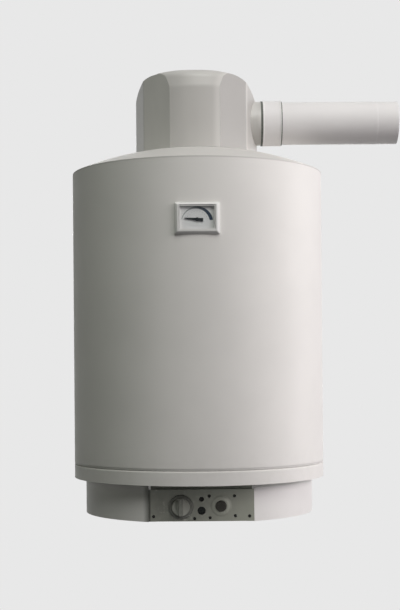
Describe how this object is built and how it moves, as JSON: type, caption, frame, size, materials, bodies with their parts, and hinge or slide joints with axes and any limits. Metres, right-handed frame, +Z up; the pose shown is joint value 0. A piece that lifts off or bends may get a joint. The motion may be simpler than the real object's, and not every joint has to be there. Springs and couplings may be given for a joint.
{
  "type": "wall-hung gas water heater",
  "caption": "Wall-hung cylindrical gas water heater with a domed lid, faceted flue hood, side concentric flue pipe, dial thermometer and gas control panel.",
  "frame": {"origin": "halfway between the two wall holes, on the wall plane", "axes": "+Y into the wall, +Z up, +X to the right as seen from the front"},
  "size_m": [0.6475, 0.5155, 0.865],
  "materials": {
    "casing_paint": "satin white enamel paint",
    "skirt_paint": "satin white enamel paint",
    "hood_plastic": "smooth white moulded cover",
    "duct_paint": "white stove enamel",
    "duct_rubber": "black lip seal",
    "plated_steel": "zinc plated",
    "flue_aluminium": "plain",
    "tank_enamel": "glass-lined steel, dark blue enamel",
    "flue_steel": "scaled steel",
    "magnesium": "cast magnesium",
    "foam": "rigid polyurethane foam",
    "cold_blue": "blue plastic",
    "hot_red": "red plastic",
    "bezel_plastic": "white plastic",
    "dial_print": "printed dial, pale with a blue scale band",
    "lens_clear": "clear plastic window",
    "needle_black": "matt black",
    "brass": "turned brass",
    "copper": "copper",
    "panel_cast": "dull grey die casting",
    "knob_plastic": "dark grey moulding",
    "button_plastic": "black moulding",
    "dark_screw": "dark phosphated steel",
    "valve_cast": "die cast aluminium",
    "gasket_fibre": "pressed fibre",
    "ceramic": "white ceramic",
    "sight_glass": "heat-proof glass"
  },
  "bodies": {
    "heater": {"jacket": "casing_paint", "base_ring": "casing_paint", "skirt": "skirt_paint", "base_plate": "plated_steel", "lid": "casing_paint", "hood": "hood_plastic", "outlet_stub": "hood_plastic", "stub_seal": "duct_rubber", "collar_lip": "duct_rubber", "clamp_collar": "duct_paint", "collar_screw": "plated_steel", "air_pipe": "duct_paint", "exhaust_pipe": "flue_aluminium", "pipe_spacers": "plated_steel", "flue_elbow": "flue_aluminium", "flue_collector": "flue_aluminium", "tank": "tank_enamel", "flue_tube": "flue_steel", "flue_baffle": "flue_steel", "cold_pipe": "plated_steel", "hot_pipe": "plated_steel", "cold_mark_ring": "cold_blue", "hot_mark_ring": "hot_red", "anode": "magnesium", "sensor_pocket": "copper", "air_duct": "plated_steel", "side_insulation": "foam", "top_insulation": "foam", "hanger": "plated_steel", "lower_spacer": "plated_steel", "thermometer_bezel": "bezel_plastic", "thermometer_case": "bezel_plastic", "lens": "lens_clear", "dial": "dial_print", "movement": "brass", "probe": "copper", "control_panel": "panel_cast", "panel_screws": "dark_screw", "piezo_body": "button_plastic", "sight_tube": "valve_cast", "sight_glass": "sight_glass", "gas_valve": "valve_cast", "valve_bracket": "plated_steel", "gas_inlet": "plated_steel", "gas_feed": "copper", "injector": "brass", "pilot_burner": "copper", "thermocouple": "copper", "spark_electrode": "ceramic", "thermostat_bulb": "copper", "chamber_wall": "flue_steel", "chamber_gasket": "gasket_fibre", "chamber_door": "plated_steel", "door_screws": "plated_steel", "burner": "flue_steel"},
    "cam_sleeve": {"cam_sleeve": "brass"},
    "knob": {"knob": "knob_plastic"},
    "igniter_button": {"igniter_button": "button_plastic"},
    "needle": {"needle": "needle_black"}
  },
  "joints": [
    {"name": "knob_turn", "type": "hinge", "parent": "heater", "child": "cam_sleeve", "pos_m": [-0.034, -0.4575, -0.5378], "axis": [0, -1, 0], "range_deg": [0, 270]},
    {"name": "knob_press", "type": "slide", "parent": "cam_sleeve", "child": "knob", "axis": [0, 1, 0], "range_m": [0, 0.005], "stiffness_N_per_m": 1500, "springref_m": -0.002},
    {"name": "igniter_press", "type": "slide", "parent": "heater", "child": "igniter_button", "axis": [0, 1, 0], "range_m": [0, 0.006], "stiffness_N_per_m": 1500, "springref_m": -0.002},
    {"name": "needle_turn", "type": "hinge", "parent": "heater", "child": "needle", "pos_m": [0, -0.5095, -0.0131], "axis": [0, 1, 0], "range_deg": [0, 170], "stiffness_Nm_per_rad": 0.0001}
  ]
}
